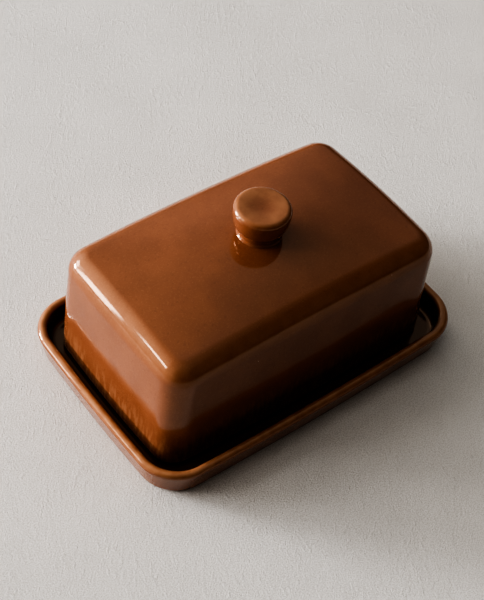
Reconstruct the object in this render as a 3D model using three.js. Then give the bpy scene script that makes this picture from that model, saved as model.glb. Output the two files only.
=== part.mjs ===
// Covered butter dish in glazed stoneware: an oblong tray and a hollow lid with a round knob.
// Millimetres, +Z up. The origin is on the table under the middle of the tray, and X runs along its length.
import * as THREE from 'three';

// ---------- Driving dimensions ----------

// Tray, measured over the rounded lip at the middle of each side.
const TRAY_HALF_LENGTH = 90;
const TRAY_HALF_WIDTH = 59.6;
const TRAY_CORNER_RADIUS = 21.1;
const TRAY_SIDE_BOW = 1.6;
const TRAY_HEIGHT = 16.1;
const LIP_RADIUS = 2.5;

// Underside of the tray: a foot ring round a shallow recess. Insets run inwards from the lip's outer edge.
const FOOT_INSET = 4.7;
const FOOT_EDGE_RADIUS = 2.2;
const FOOT_RING_WIDTH = 4.5;
const FOOT_RECESS = 1.2;
const RECESS_SLOPE_WIDTH = 1.6;

// Well of the tray: a flat floor with a cove up to the wall.
const FLOOR_HEIGHT = 6;
const COVE_RADIUS = 3;
const COVE_CENTRE_INSET = 8.6;

// Lid shell, measured over its bottom edge at the middle of each side.
const LID_HALF_LENGTH = 78.3;
const LID_HALF_WIDTH = 46.9;
const LID_SIDE_BOW = 1.4;
const LID_BOTTOM_CORNER_RADIUS = 11.4;
const LID_DRAFT = 1.5;
const LID_WALL = 4.6;
const LID_EDGE_RADIUS = 1.6;

// Top of the lid: a rounded shoulder, and a crown that swells towards the middle of the top.
const SHOULDER_TOP = 66.2;
const SHOULDER_RADIUS = 9.3;
const SHOULDER_CORNER_RADIUS = 12.3;
const CROWN_HEIGHT = 9.6;

// The lid stands on the tray's floor, a little nearer its left end.
const STANDING_GAP = 0.3;
const LID_SHIFT = new THREE.Vector2(-1.4, 0.2);

// Knob: a thick button with a dished top on a short neck. Heights run up from its foot.
const KNOB_HEIGHT = 15.7;
const KNOB_RADIUS = 13.2;
const KNOB_EDGE_RADIUS = 2.6;
const DISH_DEPTH = 0.6;
const DISH_SHOULDER_RADIUS = 5.5;
const DISH_SHOULDER_DEPTH = 0.45;
const NECK_TOP = 3.4;
const NECK_RADIUS = 10;
const NECK_FLARE = 0.9;

// Fineness of the faceted solids.
const SIDE_STEPS = 2;
const CORNER_STEPS = 6;
const ARC_STEPS = 3;
const SHOULDER_STEPS = 4;
const TOP_STEPS = 4;
const KNOB_SEGMENTS = 36;

// ---------- Plan outlines ----------

// One ring of points round a bowed rounded rectangle, anticlockwise from the +X side. Each side is a long
// arc whose middle bulges by `bow`, and each corner is an arc tangent to its two sides.
function bowedRing(halfLength, halfWidth, cornerRadius, bow) {
  const longRadius = halfLength ** 2 / (2 * bow);
  const shortRadius = halfWidth ** 2 / (2 * bow);
  const longCentre = new THREE.Vector2(0, halfWidth - longRadius);
  const shortCentre = new THREE.Vector2(halfLength - shortRadius, 0);

  // The corner arc's centre lies where two circles about the side centres cross.
  const fromLong = longRadius - cornerRadius;
  const fromShort = shortRadius - cornerRadius;
  const apart = shortCentre.clone().sub(longCentre);
  const span = apart.length();
  const along = (fromLong ** 2 - fromShort ** 2 + span ** 2) / (2 * span);
  const across = Math.sqrt(fromLong ** 2 - along ** 2);
  const forward = apart.clone().normalize();
  const sideways = new THREE.Vector2(forward.y, -forward.x);
  const corner = longCentre.clone().addScaledVector(forward, along).addScaledVector(sideways, across);
  const cornerStart = Math.atan2(corner.y, corner.x - shortCentre.x);
  const cornerEnd = Math.atan2(corner.y - longCentre.y, corner.x);

  const quarter = [
    ...arcPoints(shortCentre, shortRadius, 0, cornerStart, SIDE_STEPS),
    ...arcPoints(corner, cornerRadius, cornerStart, cornerEnd, CORNER_STEPS).slice(1),
    ...arcPoints(longCentre, longRadius, cornerEnd, Math.PI / 2, SIDE_STEPS).slice(1),
  ];
  const leftQuarter = quarter.slice(0, -1).reverse().map((point) => new THREE.Vector2(-point.x, point.y));
  const upperHalf = [...quarter, ...leftQuarter].slice(0, -1);
  const lowerHalf = upperHalf.map((point) => point.clone().negate());
  return [...upperHalf, ...lowerHalf];
}

// Points along a circular arc, both ends included.
function arcPoints(centre, radius, from, to, steps) {
  const path = new THREE.EllipseCurve(centre.x, centre.y, radius, radius, from, to, to < from);
  return path.getPoints(steps);
}

// ---------- Rings swept into a closed solid ----------

// Turns the rings' heights once round as a lathe, then moves every turned point onto its own ring. A ring is
// { points, height }, and the list starts and ends with a ring that has shrunk to a point on the axis.
function skinRings(rings, liftAt = () => 0) {
  const count = Math.max(...rings.map((ring) => ring.points.length));
  const profile = rings.map((ring) => new THREE.Vector2(ring.points.length > 1 ? 1 : 0, ring.height));
  const geometry = new THREE.LatheGeometry(profile, count);
  const position = geometry.attributes.position;
  for (let turn = 0; turn <= count; turn += 1) {
    rings.forEach((ring, level) => {
      const point = ring.points[turn % ring.points.length];
      const height = ring.height + liftAt(point.x, point.y, ring);
      position.setXYZ(turn * rings.length + level, point.x, point.y, height);
    });
  }
  return geometry;
}

const onAxis = (height) => ({ points: [new THREE.Vector2(0, 0)], height });

// Angle of the outward normal of the straight line that touches two circles. With `crossing` the line
// passes between them: the first circle lies inside the line and the second outside.
function touchingAngle(first, firstRadius, second, secondRadius, crossing = false) {
  const apart = second.clone().sub(first);
  const offset = crossing ? firstRadius + secondRadius : firstRadius - secondRadius;
  const swing = Math.acos(offset / apart.length());
  return Math.atan2(apart.y, apart.x) - swing;
}

// ---------- Tray ----------

function trayGeometry() {
  const footCentre = new THREE.Vector2(-FOOT_INSET, FOOT_EDGE_RADIUS);
  const lipCentre = new THREE.Vector2(-LIP_RADIUS, TRAY_HEIGHT - LIP_RADIUS);
  const coveCentre = new THREE.Vector2(-COVE_CENTRE_INSET, FLOOR_HEIGHT + COVE_RADIUS);
  const outerWall = touchingAngle(footCentre, FOOT_EDGE_RADIUS, lipCentre, LIP_RADIUS);
  const innerWall = touchingAngle(lipCentre, LIP_RADIUS, coveCentre, COVE_RADIUS, true) + 2 * Math.PI;
  const ringInset = FOOT_INSET + FOOT_RING_WIDTH;

  // Half section, as (distance outwards from the lip's edge, height).
  const section = [
    new THREE.Vector2(-ringInset - RECESS_SLOPE_WIDTH, FOOT_RECESS),
    new THREE.Vector2(-ringInset, 0),
    ...arcPoints(footCentre, FOOT_EDGE_RADIUS, -Math.PI / 2, outerWall, ARC_STEPS),
    ...arcPoints(lipCentre, LIP_RADIUS, outerWall, 0, 1),
    ...arcPoints(lipCentre, LIP_RADIUS, 0, innerWall, 2 * ARC_STEPS).slice(1),
    ...arcPoints(coveCentre, COVE_RADIUS, innerWall - Math.PI, -Math.PI / 2, ARC_STEPS),
  ];
  const rings = section.map(({ x: outwards, y: height }) => ({
    points: bowedRing(
      TRAY_HALF_LENGTH + outwards,
      TRAY_HALF_WIDTH + outwards,
      TRAY_CORNER_RADIUS + outwards,
      TRAY_SIDE_BOW,
    ),
    height,
  }));
  return skinRings([onAxis(FOOT_RECESS), ...rings, onAxis(FLOOR_HEIGHT)]);
}

// ---------- Lid ----------

const LID_BASE = FLOOR_HEIGHT + STANDING_GAP;
const SHOULDER_START = SHOULDER_TOP - SHOULDER_RADIUS;

// Height that the crown adds above the shoulder's top: nothing at the lid's edge, most in the middle.
function crownAt(x, y) {
  const lengthwise = 1 - Math.min(1, (x / LID_HALF_LENGTH) ** 2);
  const crosswise = 1 - Math.min(1, (y / LID_HALF_WIDTH) ** 2);
  return CROWN_HEIGHT * lengthwise * crosswise;
}

// One ring of the lid, `inset` in from its bottom edge. The corners open out from the bottom edge to the
// shoulder, then tighten as the shoulder turns inwards.
function lidRing(inset, height, wall = 0) {
  const risen = THREE.MathUtils.clamp((height - LID_BASE) / (SHOULDER_START - LID_BASE), 0, 1);
  const outerRadius = THREE.MathUtils.lerp(LID_BOTTOM_CORNER_RADIUS, SHOULDER_CORNER_RADIUS, risen);
  const turnedIn = Math.max(0, inset - LID_DRAFT - wall);
  const cornerRadius = outerRadius - wall - turnedIn;
  return {
    points: bowedRing(LID_HALF_LENGTH - inset, LID_HALF_WIDTH - inset, cornerRadius, LID_SIDE_BOW),
    height,
  };
}

// Rings that shrink evenly from the last shoulder ring towards the axis.
function topRings(shoulderRing) {
  return Array.from({ length: TOP_STEPS - 1 }, (_, step) => ({
    points: shoulderRing.points.map((point) => point.clone().multiplyScalar(1 - (step + 1) / TOP_STEPS)),
    height: shoulderRing.height,
  }));
}

function shoulderRings(wall) {
  const radius = SHOULDER_RADIUS - wall;
  const centre = new THREE.Vector2(-LID_DRAFT - SHOULDER_RADIUS, SHOULDER_START);
  return arcPoints(centre, radius, 0, Math.PI / 2, SHOULDER_STEPS)
    .map(({ x: outwards, y: height }) => lidRing(-outwards, height, wall));
}

function lidGeometry() {
  const ceiling = shoulderRings(LID_WALL);
  const outside = shoulderRings(0);
  const ceilingEdge = ceiling.at(-1);
  const outsideEdge = outside.at(-1);
  const edgeCentre = new THREE.Vector2(-LID_EDGE_RADIUS, LID_BASE + LID_EDGE_RADIUS);
  const bottomEdge = arcPoints(edgeCentre, LID_EDGE_RADIUS, -Math.PI / 2, 0, ARC_STEPS);
  const rings = [
    onAxis(ceilingEdge.height),
    ...topRings(ceilingEdge).reverse(),
    ...ceiling.reverse(),
    lidRing(LID_WALL, LID_BASE, LID_WALL),
    ...bottomEdge.map(({ x: outwards, y: height }) => lidRing(-outwards, height)),
    ...outside,
    ...topRings(outsideEdge),
    onAxis(outsideEdge.height),
  ];
  const liftAt = (x, y, ring) => (ring.height > SHOULDER_START ? crownAt(x, y) : 0);
  return skinRings(rings, liftAt);
}

// ---------- Knob ----------

function knobGeometry() {
  const edgeCentre = new THREE.Vector2(KNOB_RADIUS - KNOB_EDGE_RADIUS, KNOB_HEIGHT - KNOB_EDGE_RADIUS);
  const belly = new THREE.EllipseCurve(
    NECK_RADIUS, edgeCentre.y, KNOB_RADIUS - NECK_RADIUS, edgeCentre.y - NECK_TOP, -Math.PI / 2, 0,
  );
  const profile = [
    new THREE.Vector2(0, 0),
    new THREE.Vector2(NECK_RADIUS + NECK_FLARE, 0),
    new THREE.Vector2(NECK_RADIUS, 2 * NECK_FLARE),
    ...belly.getPoints(2 * ARC_STEPS),
    ...arcPoints(edgeCentre, KNOB_EDGE_RADIUS, 0, Math.PI / 2, ARC_STEPS).slice(1),
    new THREE.Vector2(DISH_SHOULDER_RADIUS, KNOB_HEIGHT - DISH_SHOULDER_DEPTH),
    new THREE.Vector2(0, KNOB_HEIGHT - DISH_DEPTH),
  ];
  const geometry = new THREE.LatheGeometry(profile, KNOB_SEGMENTS);
  geometry.rotateX(Math.PI / 2);
  return geometry;
}

// ---------- Assembly ----------

function glaze(colour, roughness) {
  return new THREE.MeshStandardMaterial({ color: colour, roughness, metalness: 0 });
}

const tray = new THREE.Mesh(trayGeometry(), glaze(0x7a4526, 0.2));
tray.name = 'tray';

const lidShell = new THREE.Mesh(lidGeometry(), glaze(0x8a4f2b, 0.18));
lidShell.name = 'lid_shell';

const lidKnob = new THREE.Mesh(knobGeometry(), glaze(0x8f5630, 0.18));
lidKnob.name = 'lid_knob';
lidKnob.position.z = SHOULDER_TOP + CROWN_HEIGHT + STANDING_GAP;

const lid = new THREE.Group();
lid.add(lidShell, lidKnob);
lid.position.set(LID_SHIFT.x, LID_SHIFT.y, 0);

const butterDish = new THREE.Group();
butterDish.add(tray, lid);

export default butterDish;
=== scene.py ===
"""Covered butter dish in brown glazed stoneware: a tray, a hollow lid and its knob."""
import math
from typing import NamedTuple

import bmesh
import bpy
from mathutils import Matrix, Vector, noise


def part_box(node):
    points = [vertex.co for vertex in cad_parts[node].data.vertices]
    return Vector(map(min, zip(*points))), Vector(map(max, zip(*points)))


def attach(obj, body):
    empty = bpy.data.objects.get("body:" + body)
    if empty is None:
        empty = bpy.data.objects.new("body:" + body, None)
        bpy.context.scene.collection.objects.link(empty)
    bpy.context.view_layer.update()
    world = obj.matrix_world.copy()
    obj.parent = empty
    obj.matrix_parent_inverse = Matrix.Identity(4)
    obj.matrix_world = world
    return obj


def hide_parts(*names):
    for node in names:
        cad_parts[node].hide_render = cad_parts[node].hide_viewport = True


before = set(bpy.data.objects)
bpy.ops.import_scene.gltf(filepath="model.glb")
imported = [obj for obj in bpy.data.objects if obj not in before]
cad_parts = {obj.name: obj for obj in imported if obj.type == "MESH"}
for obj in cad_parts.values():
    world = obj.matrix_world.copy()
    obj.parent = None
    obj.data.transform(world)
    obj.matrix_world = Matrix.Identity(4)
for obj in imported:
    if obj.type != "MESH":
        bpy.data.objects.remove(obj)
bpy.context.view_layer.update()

MM = 0.001

# ---------- Sizes ----------

# Places and overall sizes come from the frame's nodes; the rest are the shape's own radii and thicknesses.
TRAY_LOW, TRAY_HIGH = (Vector(corner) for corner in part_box("tray"))
LID_LOW, LID_HIGH = (Vector(corner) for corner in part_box("lid_shell"))
KNOB_LOW, KNOB_HIGH = (Vector(corner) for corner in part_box("lid_knob"))

TRAY_HALF_LENGTH = (TRAY_HIGH.x - TRAY_LOW.x) / 2
TRAY_HALF_WIDTH = (TRAY_HIGH.y - TRAY_LOW.y) / 2
TRAY_HEIGHT = TRAY_HIGH.z
TRAY_CORNER_RADIUS = 21.1 * MM
TRAY_SIDE_BOW = 1.6 * MM
LIP_RADIUS = 2.5 * MM
FOOT_INSET = 4.7 * MM
FOOT_EDGE_RADIUS = 2.2 * MM
FOOT_RING_WIDTH = 4.5 * MM
FOOT_RECESS = 1.2 * MM
RECESS_SLOPE_WIDTH = 1.6 * MM
STANDING_GAP = 0.3 * MM
FLOOR_HEIGHT = LID_LOW.z - STANDING_GAP
COVE_RADIUS = 3 * MM
COVE_CENTRE_INSET = 8.6 * MM

LID_CENTRE = Vector(((LID_LOW.x + LID_HIGH.x) / 2, (LID_LOW.y + LID_HIGH.y) / 2, 0))
LID_HALF_LENGTH = (LID_HIGH.x - LID_LOW.x) / 2
LID_HALF_WIDTH = (LID_HIGH.y - LID_LOW.y) / 2
LID_BASE = LID_LOW.z
LID_TOP = LID_HIGH.z
LID_SIDE_BOW = 1.4 * MM
LID_BOTTOM_CORNER_RADIUS = 11.4 * MM
LID_DRAFT = 1.5 * MM
LID_WALL = 4.6 * MM
LID_EDGE_RADIUS = 1.6 * MM
CROWN_HEIGHT = 9.6 * MM
SHOULDER_RADIUS = 9.3 * MM
SHOULDER_CORNER_RADIUS = 12.3 * MM
SHOULDER_TOP = LID_TOP - CROWN_HEIGHT
SHOULDER_START = SHOULDER_TOP - SHOULDER_RADIUS

KNOB_RADIUS = (KNOB_HIGH.x - KNOB_LOW.x) / 2
KNOB_HEIGHT = KNOB_HIGH.z - KNOB_LOW.z
KNOB_EDGE_RADIUS = 2.6 * MM
DISH_DEPTH = 0.6 * MM
NECK_TOP = 3.4 * MM
NECK_RADIUS = 10 * MM
NECK_FLARE = 1.2 * MM

# The knob's foot is set this far into the crown, so that no gap shows round it.
KNOB_SINK = 0.55 * MM

# The walls aren't quite true: slow hollows, always inwards so that the pieces keep inside their CAD sizes.
HOLLOW_DEPTH = 0.5 * MM
HOLLOW_SPREAD = 70 * MM
HOLLOW_RISE = 26 * MM

# Fineness of the meshes.
SIDE_STEPS = 40
CORNER_STEPS = 28
WALL_STEPS = 14
ARC_STEPS = 14
TOP_STEPS = 40
KNOB_SEGMENTS = 160
BARE_FOOT_STEPS = 5

# How far the glaze thins over the rounded edges, from 0 to 1.
SHOULDER_THIN = 0.35
RIM_THIN = 0.6


# ---------- Outlines and profiles ----------

def arc(centre, radius, start, end, steps):
    """Points along a circular arc in a plane, both ends included."""
    turns = (start + (end - start) * step / steps for step in range(steps + 1))
    return [Vector((centre[0] + radius * math.cos(t), centre[1] + radius * math.sin(t))) for t in turns]


def line(start, end, steps):
    """Points strictly between two ends."""
    return [start.lerp(end, step / steps) for step in range(1, steps)]


def bowed_ring(half_length, half_width, corner_radius, bow):
    """A rounded rectangle whose sides are long arcs bulging by `bow`, anticlockwise from the +X side."""
    long_radius = half_length ** 2 / (2 * bow)
    short_radius = half_width ** 2 / (2 * bow)
    long_centre = Vector((0, half_width - long_radius))
    short_centre = Vector((half_length - short_radius, 0))

    # The corner arc's centre lies where two circles about the side centres cross.
    from_long = long_radius - corner_radius
    from_short = short_radius - corner_radius
    apart = short_centre - long_centre
    along = (from_long ** 2 - from_short ** 2 + apart.length_squared) / (2 * apart.length)
    across = math.sqrt(from_long ** 2 - along ** 2)
    forward = apart.normalized()
    corner = long_centre + forward * along + Vector((forward.y, -forward.x)) * across
    start = math.atan2(corner.y, corner.x - short_centre.x)
    end = math.atan2(corner.y - long_centre.y, corner.x)

    quarter = arc(short_centre, short_radius, 0, start, SIDE_STEPS)
    quarter += arc(corner, corner_radius, start, end, CORNER_STEPS)[1:]
    quarter += arc(long_centre, long_radius, end, math.pi / 2, SIDE_STEPS)[1:]
    half = quarter + [Vector((-p.x, p.y)) for p in reversed(quarter[1:-1])]
    return half + [-p for p in half]


def touching_angle(first, first_radius, second, second_radius, crossing=False):
    """Angle of the outward normal of the line touching two circles, or passing between them if crossing."""
    apart = second - first
    offset = first_radius + second_radius if crossing else first_radius - second_radius
    return math.atan2(apart.y, apart.x) - math.acos(offset / apart.length)


class Ring(NamedTuple):
    """Points round the piece, with how thin the glaze is, how bare the clay and how much painted shade
    darkens it, from 0 to 1.
    """
    points: list
    thin: float = 0.0
    bare: float = 0.0
    pool: float = 0.0


def hollow_at(point):
    """How deep the slow hollows are at a place, from about 0 to 1."""
    spot = Vector((point.x / HOLLOW_SPREAD, point.y / HOLLOW_SPREAD, point.z / HOLLOW_RISE))
    return 0.5 + 0.5 * noise.noise(spot)


def skin(name, rings):
    """A closed smooth mesh over a list of rings; the first and last ring are single points."""
    shape = bmesh.new()
    # Each point carries how thin its glaze is, how bare its clay and how much painted shade it has.
    thin = shape.verts.layers.float.new("glaze_thin")
    bare = shape.verts.layers.float.new("bare_clay")
    pool = shape.verts.layers.float.new("painted_tray_shade")
    rows = []
    for ring in rings:
        row = [shape.verts.new(point) for point in ring.points]
        for vertex in row:
            vertex[thin] = ring.thin
            vertex[bare] = ring.bare
            vertex[pool] = ring.pool
        rows.append(row)
    count = max(len(row) for row in rows)
    for lower, upper in zip(rows, rows[1:]):
        for i in range(count):
            corners = [lower[i % len(lower)], lower[(i + 1) % len(lower)]]
            corners += [upper[(i + 1) % len(upper)], upper[i % len(upper)]]
            face = shape.faces.new(list(dict.fromkeys(corners)))
            face.smooth = True
    shape.normal_update()
    moves = [-vertex.normal * HOLLOW_DEPTH * hollow_at(vertex.co) for vertex in shape.verts]
    for vertex, move in zip(shape.verts, moves):
        vertex.co += move
    mesh = bpy.data.meshes.new(name)
    shape.to_mesh(mesh)
    shape.free()
    piece = bpy.data.objects.new(name, mesh)
    bpy.context.scene.collection.objects.link(piece)
    return piece


# ---------- Tray ----------

def tray_ring(outwards, height, **glaze):
    """The tray's outline moved outwards, at a height; `glaze` goes to the Ring: thin glaze, bare clay and
    painted shade.
    """
    outline = bowed_ring(
        TRAY_HALF_LENGTH + outwards,
        TRAY_HALF_WIDTH + outwards,
        TRAY_CORNER_RADIUS + outwards,
        TRAY_SIDE_BOW,
    )
    return Ring([Vector((p.x, p.y, height)) for p in outline], **glaze)


def shrunk_rings(ring, steps):
    """Rings that shrink evenly from `ring` to its middle, which is the last one."""
    middle = Vector((0, 0, ring.points[0].z))
    shares = (1 - step / steps for step in range(1, steps))
    rings = [Ring([middle.lerp(p, share) for p in ring.points], pool=ring.pool) for share in shares]
    return rings + [Ring([middle], pool=ring.pool)]


def hump(step, steps):
    """Rises from 0 to 1 half way along and falls back to 0."""
    return math.sin(math.pi * step / steps) ** 2


def make_tray():
    """Runs from the middle of the underside round the foot, wall and lip to the middle of the floor."""
    foot = Vector((-FOOT_INSET, FOOT_EDGE_RADIUS))
    lip = Vector((-LIP_RADIUS, TRAY_HEIGHT - LIP_RADIUS))
    cove = Vector((-COVE_CENTRE_INSET, FLOOR_HEIGHT + COVE_RADIUS))
    outer_wall = touching_angle(foot, FOOT_EDGE_RADIUS, lip, LIP_RADIUS)
    inner_wall = touching_angle(lip, LIP_RADIUS, cove, COVE_RADIUS, crossing=True) + 2 * math.pi
    ring_inset = FOOT_INSET + FOOT_RING_WIDTH

    foot_arc = arc(foot, FOOT_EDGE_RADIUS, -math.pi / 2, outer_wall, ARC_STEPS)
    lip_arc = arc(lip, LIP_RADIUS, outer_wall, inner_wall, 2 * ARC_STEPS)
    cove_arc = arc(cove, COVE_RADIUS, inner_wall - math.pi, -math.pi / 2, ARC_STEPS)
    ring_start = Vector((-ring_inset, 0))
    foot_ring = [ring_start] + line(ring_start, foot_arc[0], WALL_STEPS // 2)

    rings = [tray_ring(-ring_inset - RECESS_SLOPE_WIDTH, FOOT_RECESS)]
    rings += [tray_ring(p.x, p.y, bare=1) for p in foot_ring]
    rings += [tray_ring(p.x, p.y, bare=float(step < BARE_FOOT_STEPS)) for step, p in enumerate(foot_arc)]
    rings += [tray_ring(p.x, p.y) for p in line(foot_arc[-1], lip_arc[0], WALL_STEPS)]
    # From the lip's inner half inwards, the wall, cove and floor of the tray are darkened with painted shade,
    # standing in for the shade inside the tray.
    for step, p in enumerate(lip_arc):
        rings.append(tray_ring(p.x, p.y, thin=hump(step, 2 * ARC_STEPS), pool=max(0, step / ARC_STEPS - 1)))
    rings += [tray_ring(p.x, p.y, pool=1) for p in line(lip_arc[-1], cove_arc[0], WALL_STEPS // 2) + cove_arc]
    under = list(reversed(shrunk_rings(rings[0], TOP_STEPS // 2)))
    return skin("tray_body", under + rings + shrunk_rings(rings[-1], TOP_STEPS))


# ---------- Lid ----------

def crown_at(x, y):
    """Height of the lid's swelling top above its shoulder, at a place measured from the lid's middle."""
    lengthwise = 1 - min(1, (x / LID_HALF_LENGTH) ** 2)
    crosswise = 1 - min(1, (y / LID_HALF_WIDTH) ** 2)
    return CROWN_HEIGHT * lengthwise * crosswise


def lid_ring(inset, height, wall=0.0, thin=0.0, bare=0.0):
    """The lid's outline at a height, moved inwards; `wall` is how far inside the outer face it runs."""
    risen = min(1, max(0, (height - LID_BASE) / (SHOULDER_START - LID_BASE)))
    outer_radius = LID_BOTTOM_CORNER_RADIUS + (SHOULDER_CORNER_RADIUS - LID_BOTTOM_CORNER_RADIUS) * risen
    turned_in = max(0, inset - LID_DRAFT - wall)
    outline = bowed_ring(
        LID_HALF_LENGTH - inset, LID_HALF_WIDTH - inset, outer_radius - wall - turned_in, LID_SIDE_BOW
    )
    return Ring([Vector((p.x, p.y, height)) for p in outline], thin, bare)


def shoulder_rings(wall):
    """The rounded shoulder of the outer face, or of the inner face at `wall` inside it."""
    centre = (-LID_DRAFT - SHOULDER_RADIUS, SHOULDER_START)
    steps = 2 * ARC_STEPS
    curve = arc(centre, SHOULDER_RADIUS - wall, 0, math.pi / 2, steps)
    return [lid_ring(-p.x, p.y, wall, thin=SHOULDER_THIN * hump(step, steps)) for step, p in enumerate(curve)]


def make_lid():
    """Runs from the middle of the ceiling down the inner face, round the foot and up to the crown."""
    edge = Vector((-LID_EDGE_RADIUS, LID_BASE + LID_EDGE_RADIUS))
    edge_arc = arc(edge, LID_EDGE_RADIUS, -math.pi / 2, 0, ARC_STEPS)
    outer_top = Vector((-LID_DRAFT, SHOULDER_START))
    inner_top = Vector((-LID_DRAFT - LID_WALL, SHOULDER_START))
    inner_foot = Vector((-LID_WALL, LID_BASE))
    ceiling = shoulder_rings(LID_WALL)
    outside = shoulder_rings(0.0)
    rings = list(reversed(shrunk_rings(ceiling[-1], TOP_STEPS))) + list(reversed(ceiling))
    rings += [lid_ring(-p.x, p.y, LID_WALL) for p in line(inner_top, inner_foot, WALL_STEPS)]
    rings.append(lid_ring(-inner_foot.x, inner_foot.y, LID_WALL, bare=1))
    rings += [lid_ring(-p.x, p.y, bare=float(step < BARE_FOOT_STEPS)) for step, p in enumerate(edge_arc)]
    rings += [lid_ring(-p.x, p.y) for p in line(edge_arc[-1], outer_top, 2 * WALL_STEPS)]
    rings += outside + shrunk_rings(outside[-1], TOP_STEPS)
    for ring in rings:
        for point in ring.points:
            if point.z > SHOULDER_START:
                point.z += crown_at(point.x, point.y)
    piece = skin("lid_body", rings)
    piece.data.transform(Matrix.Translation(LID_CENTRE))
    return piece


# ---------- Knob ----------

def make_knob():
    """Runs from the middle of its foot up the neck and belly to the middle of the dished top."""
    edge = Vector((KNOB_RADIUS - KNOB_EDGE_RADIUS, KNOB_HEIGHT - KNOB_EDGE_RADIUS))
    overhang = KNOB_RADIUS - NECK_RADIUS
    belly_height = edge.y - NECK_TOP
    belly_turns = (-math.pi / 2 * (1 - step / ARC_STEPS) for step in range(ARC_STEPS + 1))
    belly = [
        Vector((NECK_RADIUS + overhang * math.cos(t), edge.y + belly_height * math.sin(t)))
        for t in belly_turns
    ]
    flare = arc((NECK_RADIUS + NECK_FLARE, NECK_FLARE), NECK_FLARE, 1.5 * math.pi, math.pi, ARC_STEPS)
    neck = line(flare[-1], belly[0], ARC_STEPS // 2)
    rim = arc(edge, KNOB_EDGE_RADIUS, 0, math.pi / 2, ARC_STEPS)[1:]
    shares = (step / ARC_STEPS for step in range(1, ARC_STEPS))
    dish = [
        Vector((edge.x * (1 - share), KNOB_HEIGHT - DISH_DEPTH * math.sin(math.pi / 2 * share) ** 2))
        for share in shares
    ]
    turns = [2 * math.pi * i / KNOB_SEGMENTS for i in range(KNOB_SEGMENTS)]

    def turned(p, thin=0.0, follow=0.0):
        """The ring that a profile point sweeps; with `follow` it sinks to meet the crown of the lid."""
        ring = [Vector((p.x * math.cos(t), p.x * math.sin(t), p.y)) for t in turns]
        for point in ring:
            point.z -= follow * (CROWN_HEIGHT - crown_at(point.x, point.y) + KNOB_SINK)
        return Ring(ring, thin)

    rings = [Ring([Vector((0, 0, -KNOB_SINK))])]
    rings += [turned(p, follow=1 - step / ARC_STEPS) for step, p in enumerate(flare)]
    rings += [turned(p) for p in neck + belly]
    rings += [turned(p, thin=RIM_THIN * hump(step, 2 * ARC_STEPS)) for step, p in enumerate(rim + dish, 1)]
    rings += [Ring([Vector((0, 0, KNOB_HEIGHT - DISH_DEPTH))])]
    piece = skin("knob_body", rings)
    piece.data.transform(Matrix.Translation(Vector((LID_CENTRE.x, LID_CENTRE.y, LID_TOP))))
    return piece


# ---------- Materials ----------

# A mix node has a pair of inputs for each kind of value; these are their places in its lists of sockets.
MIX_FLOATS = (2, 3)
MIX_COLOURS = (6, 7)
MIX_COLOUR_RESULT = 2


class Nodes:
    """Short ways to add shader nodes to one material."""

    def __init__(self, name):
        self.material = bpy.data.materials.new(name)
        self.material.use_nodes = True
        self.tree = self.material.node_tree
        self.shader = self.tree.nodes["Principled BSDF"]
        self.place = self.add("ShaderNodeTexCoord").outputs["Object"]

    def add(self, kind, inputs=None, **settings):
        """A node with its settings, and with its inputs joined to sockets or set to values."""
        node = self.tree.nodes.new(kind)
        for key, value in settings.items():
            setattr(node, key, value)
        for key, value in (inputs or {}).items():
            self.set(node.inputs[key], value)
        return node

    def set(self, socket, value):
        if isinstance(value, bpy.types.NodeSocket):
            self.tree.links.new(value, socket)
        else:
            socket.default_value = value

    def noise(self, size, detail=2.0, roughness=0.5, place=None):
        """Noise whose lumps are about `size` across, as a socket from 0 to 1."""
        inputs = {"Vector": place or self.place, "Scale": 1 / size, "Detail": detail, "Roughness": roughness}
        return self.add("ShaderNodeTexNoise", inputs).outputs[0]

    def stretched(self, scale, place=None):
        """The place with each axis scaled, for marks that run one way."""
        return self.add("ShaderNodeMapping", {"Vector": place or self.place, "Scale": scale}).outputs[0]

    def range(self, value, low, high, to_low=0.0, to_high=1.0):
        """Maps low..high smoothly to to_low..to_high."""
        inputs = {"Value": value, "From Min": low, "From Max": high, "To Min": to_low, "To Max": to_high}
        return self.add("ShaderNodeMapRange", inputs, interpolation_type="SMOOTHSTEP").outputs[0]

    def math(self, operation, first, second):
        return self.add("ShaderNodeMath", {0: first, 1: second}, operation=operation).outputs[0]

    def mix(self, amount, first, second):
        """Goes from the first colour to the second as `amount` goes from 0 to 1."""
        node = self.add("ShaderNodeMix", {"Factor": amount}, data_type="RGBA")
        for place, value in zip(MIX_COLOURS, (first, second)):
            self.set(node.inputs[place], value)
        return node.outputs[MIX_COLOUR_RESULT]

    def mix_floats(self, amount, first, second):
        inputs = dict(zip(MIX_FLOATS, (first, second)))
        return self.add("ShaderNodeMix", {"Factor": amount, **inputs}, data_type="FLOAT").outputs[0]

    def painted(self, attribute):
        """A value that `skin` wrote on the mesh."""
        return self.add("ShaderNodeAttribute", attribute_name=attribute).outputs["Fac"]

    def height(self):
        return self.add("ShaderNodeSeparateXYZ", {"Vector": self.place}).outputs["Z"]

    def bump(self, height, depth, strength=1.0, normal=None):
        inputs = {"Height": height, "Distance": depth, "Strength": strength}
        if normal:
            inputs["Normal"] = normal
        return self.add("ShaderNodeBump", inputs).outputs[0]

    def finish(self, **inputs):
        """Joins the shader's inputs, named in small letters with underscores, and gives the material."""
        for key, value in inputs.items():
            self.set(self.shader.inputs[key.replace("_", " ").title().replace("Ior", "IOR")], value)
        return self.material


GLAZE_DEEP = (0.180, 0.063, 0.0300, 1)
GLAZE_BROWN = (0.208, 0.074, 0.0350, 1)
GLAZE_THIN = (0.37, 0.175, 0.088, 1)
GLAZE_SPECK = (0.125, 0.046, 0.021, 1)
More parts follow.
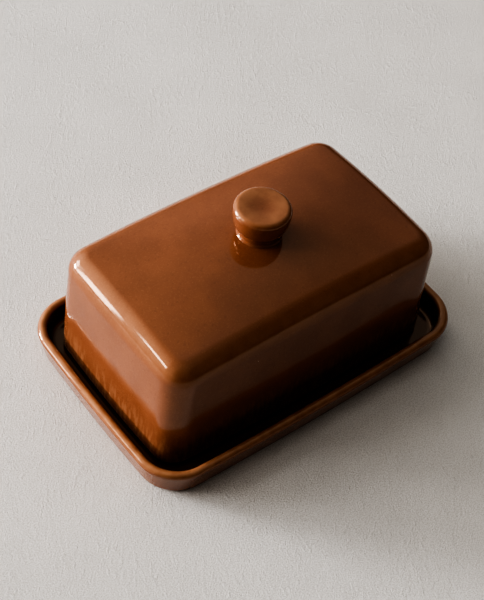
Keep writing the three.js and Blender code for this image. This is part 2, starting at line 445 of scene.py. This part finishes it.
# Painted shade: the tray's inside is darkened towards this brown to stand in for the shade that falls inside
# it.
PAINTED_SHADE_BROWN = (0.045, 0.020, 0.012, 1)
SHINE_TINT = (1, 0.70, 0.50, 1)
PINHOLE_PALE = (0.62, 0.42, 0.26, 1)
CLAY_BUFF = (0.52, 0.37, 0.23, 1)
CLAY_DARK = (0.36, 0.23, 0.13, 1)

# Most noise stays between these values, so they mark the ends of its useful range.
NOISE_LOW = 0.3
NOISE_HIGH = 0.7

# How large the glaze's marks are.
CLOUD_SIZE = 16 * MM
GRAIN_SIZE = 0.7 * MM
SPECK_SIZE = 1.3 * MM
EDGE_BREAK_SIZE = 5 * MM
SHEEN_PATCH_SIZE = 9 * MM
RELIEF_SIZE = 3.5 * MM
RELIEF_DEPTH = 0.03 * MM

# How strongly they show, from 0 to 1.
GRAIN_AMOUNT = 0.16
SPECK_AMOUNT = 0.35
# How strongly the painted shade inside the tray shows.
PAINTED_SHADE_AMOUNT = 0.9
EDGE_BREAK_LEAST = 0.55
RELIEF_STRENGTH = 0.25

# The shine's strength, and the roughness of the smoothest and dullest glaze.
GLAZE_SHINE = 0.75
GLAZE_ROUGHNESS = (0.06, 0.12)

# Runs of glaze start at the top height and are at their full strength at this share of it.
RUN_TOP = 30 * MM
RUN_FULL_SHARE = 0.45
RUN_WIDTH = 1.7 * MM
RUN_LENGTH = 8 * MM
RUN_AMOUNT = 0.4
RUN_RELIEF = 0.8

# Pinholes sit in a fifth of the cells; their radii are shares of a cell.
PINHOLE_CELL = 11 * MM
PINHOLE_CHOICE = (0.80, 0.82)
PINHOLE_OUTER = 0.036
PINHOLE_INNER = 0.022
PINHOLE_AMOUNT = 0.8
PINHOLE_DEPTH = 0.2 * MM
PINHOLE_STRENGTH = 0.5

# The dry clay of the foot has a ragged edge.
CLAY_EDGE_SIZE = 4 * MM
CLAY_EDGE_WANDER = 0.2
CLAY_TONE_SIZE = 0.9 * MM
CLAY_GRAIN_SIZE = 0.5 * MM
CLAY_GRAIN_DEPTH = 0.25 * MM
CLAY_GRAIN_STRENGTH = 0.6
CLAY_ROUGHNESS = 0.85


def glaze_colour(n):
    """Chestnut brown with clouds, a pale grain and dark specks."""
    clouds = n.range(n.noise(CLOUD_SIZE, detail=3), NOISE_LOW, NOISE_HIGH)
    grain = n.range(n.noise(GRAIN_SIZE, detail=2), 0.5, 0.75, 0, GRAIN_AMOUNT)
    specks = n.range(n.noise(SPECK_SIZE, detail=1), 0.6, 0.75, 0, SPECK_AMOUNT)
    brown = n.mix(clouds, GLAZE_DEEP, GLAZE_BROWN)
    return n.mix(specks, n.mix(grain, brown, GLAZE_THIN), GLAZE_SPECK)


def glaze_runs(n, top):
    """How much of a run is at each place below the height `top`, from 0 to 1."""
    narrow = n.stretched((1 / RUN_WIDTH, 1 / RUN_WIDTH, 1 / RUN_LENGTH))
    low_down = n.range(n.height(), top, top * RUN_FULL_SHARE)
    return n.math("MULTIPLY", low_down, n.range(n.noise(1.0, place=narrow, detail=2), 0.42, 0.66))


def pinholes(n):
    """1 inside a few small round spots and 0 outside them."""
    cells = n.add("ShaderNodeTexVoronoi", {"Vector": n.place, "Scale": 1 / PINHOLE_CELL})
    lot = n.add("ShaderNodeSeparateColor", {"Color": cells.outputs["Color"]}).outputs[0]
    spot = n.range(cells.outputs["Distance"], PINHOLE_OUTER, PINHOLE_INNER)
    return n.math("MULTIPLY", spot, n.range(lot, *PINHOLE_CHOICE))


def bare_foot(n):
    """1 on the dry clay of the foot and 0 on the glaze."""
    wander = n.range(n.noise(CLAY_EDGE_SIZE), NOISE_LOW, NOISE_HIGH, -CLAY_EDGE_WANDER, CLAY_EDGE_WANDER)
    return n.range(n.math("ADD", n.painted("bare_clay"), wander), 0.4, 0.6)


def glaze_material(name, runs_below=0.0):
    """Brown glaze over buff stoneware, with runs low down if `runs_below` gives their top height."""
    n = Nodes(name)
    colour = glaze_colour(n)

    # Painted shade darkens the tray's inside, and the glaze breaks paler where it has run off an edge,
    # unevenly.
    colour = n.mix(n.math("MULTIPLY", n.painted("painted_tray_shade"), PAINTED_SHADE_AMOUNT), colour, PAINTED_SHADE_BROWN)
    uneven = n.range(n.noise(EDGE_BREAK_SIZE), NOISE_LOW, NOISE_HIGH, EDGE_BREAK_LEAST, 1)
    colour = n.mix(n.math("MULTIPLY", n.painted("glaze_thin"), uneven), colour, GLAZE_THIN)

    # Runs of thicker and thinner glaze stand out a little from the wall.
    relief = n.noise(RELIEF_SIZE, detail=1)
    if runs_below:
        run = glaze_runs(n, runs_below)
        colour = n.mix(n.math("MULTIPLY", run, RUN_AMOUNT), colour, GLAZE_THIN)
        relief = n.math("ADD", relief, n.math("MULTIPLY", run, RUN_RELIEF))

    pinhole = pinholes(n)
    colour = n.mix(n.math("MULTIPLY", pinhole, PINHOLE_AMOUNT), colour, PINHOLE_PALE)

    bare = bare_foot(n)
    clay = n.mix(n.noise(CLAY_TONE_SIZE, detail=3), CLAY_DARK, CLAY_BUFF)
    colour = n.mix(bare, colour, clay)

    gloss = n.range(n.noise(SHEEN_PATCH_SIZE, detail=2), NOISE_LOW, NOISE_HIGH, *GLAZE_ROUGHNESS)
    uneven_skin = n.bump(relief, RELIEF_DEPTH, RELIEF_STRENGTH)
    pitted = n.bump(n.math("MULTIPLY", pinhole, -1.0), PINHOLE_DEPTH, PINHOLE_STRENGTH, uneven_skin)
    clay_grain = n.math("MULTIPLY", bare, n.noise(CLAY_GRAIN_SIZE, detail=4))
    return n.finish(
        base_color=colour,
        roughness=n.mix_floats(bare, gloss, CLAY_ROUGHNESS),
        normal=n.bump(clay_grain, CLAY_GRAIN_DEPTH, CLAY_GRAIN_STRENGTH, pitted),
        specular_ior_level=GLAZE_SHINE,
        specular_tint=SHINE_TINT,
    )


PLASTER_PALE = (0.82, 0.815, 0.81, 1)
PLASTER_DARK = (0.765, 0.76, 0.755, 1)
PLASTER_GRIT = (0.48, 0.46, 0.44, 1)
PLASTER_ROUGHNESS = 0.85
PLASTER_CLOUD_SIZE = 60 * MM
GRIT_TONE_SIZE = 0.6 * MM
GRIT_TONE_AMOUNT = 0.55
GRIT_SIZE = 0.8 * MM
GRIT_DEPTH = 0.6 * MM

# Brush marks are short ridges that come and go in patches.
BRUSH_TURN = math.radians(33)
BRUSH_WIDTH = 2 * MM
BRUSH_LENGTH = 4 * MM
BRUSH_PATCH_SIZE = 22 * MM
BRUSH_PATCH_LEAST = 0.3
BRUSH_DEPTH = 0.6 * MM
BRUSH_STRENGTH = 0.55


def plaster_material():
    """Pale brushed plaster: clouds, a fine grit and short brush marks."""
    n = Nodes("plaster")
    clouds = n.range(n.noise(PLASTER_CLOUD_SIZE, detail=4), NOISE_LOW, NOISE_HIGH)
    grit_tone = n.range(n.noise(GRIT_TONE_SIZE, detail=2, roughness=0.7), 0.42, 0.62, 0, GRIT_TONE_AMOUNT)
    tone = n.mix(grit_tone, n.mix(clouds, PLASTER_DARK, PLASTER_PALE), PLASTER_GRIT)

    turned = n.add("ShaderNodeMapping", {"Vector": n.place, "Rotation": (0, 0, BRUSH_TURN)}).outputs[0]
    along = n.stretched((1 / BRUSH_WIDTH, 1 / BRUSH_LENGTH, 1), turned)
    ridges = n.range(n.noise(1.0, place=along, detail=4, roughness=0.65), 0.48, 0.75)
    patches = n.range(n.noise(BRUSH_PATCH_SIZE), 0.4, 0.65, BRUSH_PATCH_LEAST, 1)
    marks = n.bump(n.math("MULTIPLY", ridges, patches), BRUSH_DEPTH, BRUSH_STRENGTH)
    grit = n.bump(n.noise(GRIT_SIZE, detail=3, roughness=0.9), GRIT_DEPTH, 1.0, marks)
    return n.finish(base_color=tone, roughness=PLASTER_ROUGHNESS, normal=grit)


# ---------- Pieces on their bodies ----------

tray = make_tray()
lid = make_lid()
knob = make_knob()

# piece, the node it stands for, its body, its finish and the top height of the runs in its glaze
PIECES = (
    (tray, "tray", "tray", "tray_glaze", 0.0),
    (lid, "lid_shell", "lid", "lid_glaze", RUN_TOP),
    (knob, "lid_knob", "lid", "knob_glaze", 0.0),
)
for piece, node, body, finish_slot, run_top in PIECES:
    piece.data.materials.append(glaze_material(finish_slot, run_top))
    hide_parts(node)
    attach(piece, body)


# ---------- Stage: table, lights and camera ----------

TABLE_HALF_SIZE = 3
TABLE_DROP = 0.1 * MM


def add_table():
    """A plain square table, a hair below the tray's foot."""
    shape = bmesh.new()
    bmesh.ops.create_grid(shape, x_segments=1, y_segments=1, size=TABLE_HALF_SIZE)
    mesh = bpy.data.meshes.new("table")
    shape.to_mesh(mesh)
    shape.free()
    table = bpy.data.objects.new("table", mesh)
    bpy.context.scene.collection.objects.link(table)
    table.data.materials.append(plaster_material())
    table.location.z = -TABLE_DROP


def add_area_light(name, direction, distance, width, height, power, colour):
    """A rectangular light that faces the dish from `direction`."""
    data = bpy.data.lights.new(name, "AREA")
    data.shape = "RECTANGLE"
    data.size = width
    data.size_y = height
    data.energy = power
    data.color = colour
    light = bpy.data.objects.new(name, data)
    light.location = direction.normalized() * distance
    light.rotation_mode = "QUATERNION"
    light.rotation_quaternion = direction.to_track_quat("Z", "Y")
    bpy.context.scene.collection.objects.link(light)


def direction_from(azimuth, elevation):
    """Unit vector towards a viewer at these angles: azimuth 0 looks along +Y and 90 along -X."""
    level = math.cos(elevation)
    return Vector((math.sin(azimuth) * level, -math.cos(azimuth) * level, math.sin(elevation)))


CAMERA_AZIMUTH = math.radians(-43.969)
CAMERA_ELEVATION = math.radians(48.878)
CAMERA_ROLL = math.radians(8.812)
CAMERA_DISTANCE = 641.8 * MM
CAMERA_AIM = Vector((13.65, 19.94, 0)) * MM
CAMERA_LENS_MM = 77.71


def add_camera():
    """Looks down on the dish from in front and to the left, turned slightly about its own axis."""
    data = bpy.data.cameras.new("camera")
    data.lens = CAMERA_LENS_MM
    camera = bpy.data.objects.new("camera", data)
    back = direction_from(CAMERA_AZIMUTH, CAMERA_ELEVATION)
    right = Vector((math.cos(CAMERA_AZIMUTH), math.sin(CAMERA_AZIMUTH), 0))
    turn = Matrix((right, back.cross(right), back)).transposed()
    camera.matrix_world = (
        Matrix.Translation(CAMERA_AIM + back * CAMERA_DISTANCE)
        @ turn.to_4x4()
        @ Matrix.Rotation(CAMERA_ROLL, 4, "Z")
    )
    bpy.context.scene.collection.objects.link(camera)
    bpy.context.scene.camera = camera


# Pale patches of the room: direction, half angle in degrees, brightness in the middle and colour.
WARM_WALL = (1, 0.89, 0.77)
COOL_CEILING = (0.88, 0.97, 1)
ROOM_PATCHES = (
    ((0.455, 0.48, 0.75), 45, 0.33, COOL_CEILING),
    ((0, 0, 1), 50, 0.36, WARM_WALL),
    ((-0.5, 0.2, 0.84), 40, 0.24, WARM_WALL),
    ((-0.5, 0.75, 0.45), 42, 1.95, WARM_WALL),
    ((0, 1, 0.5), 50, 0.34, WARM_WALL),
    ((-0.93, 0.15, 0.35), 45, 0.40, WARM_WALL),
    ((0.6, -0.5, 0.6), 60, 0.07, WARM_WALL),
)


def add_surroundings():
    """A dim room with a pale ceiling and pale walls, each fading out softly."""
    world = bpy.data.worlds.new("studio")
    world.use_nodes = True
    nodes = world.node_tree.nodes
    links = world.node_tree.links
    towards = nodes.new("ShaderNodeTexCoord")
    total = None
    for direction, spread, brightness, colour in ROOM_PATCHES:
        facing = nodes.new("ShaderNodeVectorMath")
        facing.operation = "DOT_PRODUCT"
        facing.inputs[1].default_value = Vector(direction).normalized()
        links.new(towards.outputs["Generated"], facing.inputs[0])
        fade = nodes.new("ShaderNodeMapRange")
        fade.interpolation_type = "SMOOTHSTEP"
        fade.inputs["From Min"].default_value = math.cos(math.radians(spread))
        fade.inputs["From Max"].default_value = 1.0
        fade.inputs["To Max"].default_value = brightness
        links.new(facing.outputs["Value"], fade.inputs["Value"])
        tinted = nodes.new("ShaderNodeVectorMath")
        tinted.operation = "SCALE"
        tinted.inputs[0].default_value = colour
        links.new(fade.outputs[0], tinted.inputs["Scale"])
        if total is None:
            total = tinted.outputs[0]
            continue
        add = nodes.new("ShaderNodeVectorMath")
        links.new(total, add.inputs[0])
        links.new(tinted.outputs[0], add.inputs[1])
        total = add.outputs[0]
    links.new(total, nodes["Background"].inputs["Color"])
    bpy.context.scene.world = world


def window_at(azimuth, elevation):
    """Direction of a window pane: azimuth anticlockwise from +X, both in degrees."""
    level = math.cos(math.radians(elevation))
    a = math.radians(azimuth)
    return Vector((math.cos(a) * level, math.sin(a) * level, math.sin(math.radians(elevation))))


WINDOW_DISTANCE = 2.4
WINDOW_COLOUR = (1, 0.97, 0.96)

# The window's panes: name, azimuth, elevation, width, height, power.
WINDOWS = (
    ("window_low", 129, 7, 0.55, 0.27, 66),
    ("window_middle", 125, 20, 0.8, 0.5, 17),
    ("window_corner", 144, 14, 0.34, 0.6, 13),
    ("window_side", 156, 30, 0.4, 0.24, 6.5),
)


# ---------- Scene ----------

add_table()
add_surroundings()
for pane, azimuth, elevation, width, height, power in WINDOWS:
    add_area_light(pane, window_at(azimuth, elevation), WINDOW_DISTANCE, width, height, power, WINDOW_COLOUR)
add_camera()
bpy.context.scene.view_settings.look = "AgX - Very High Contrast"
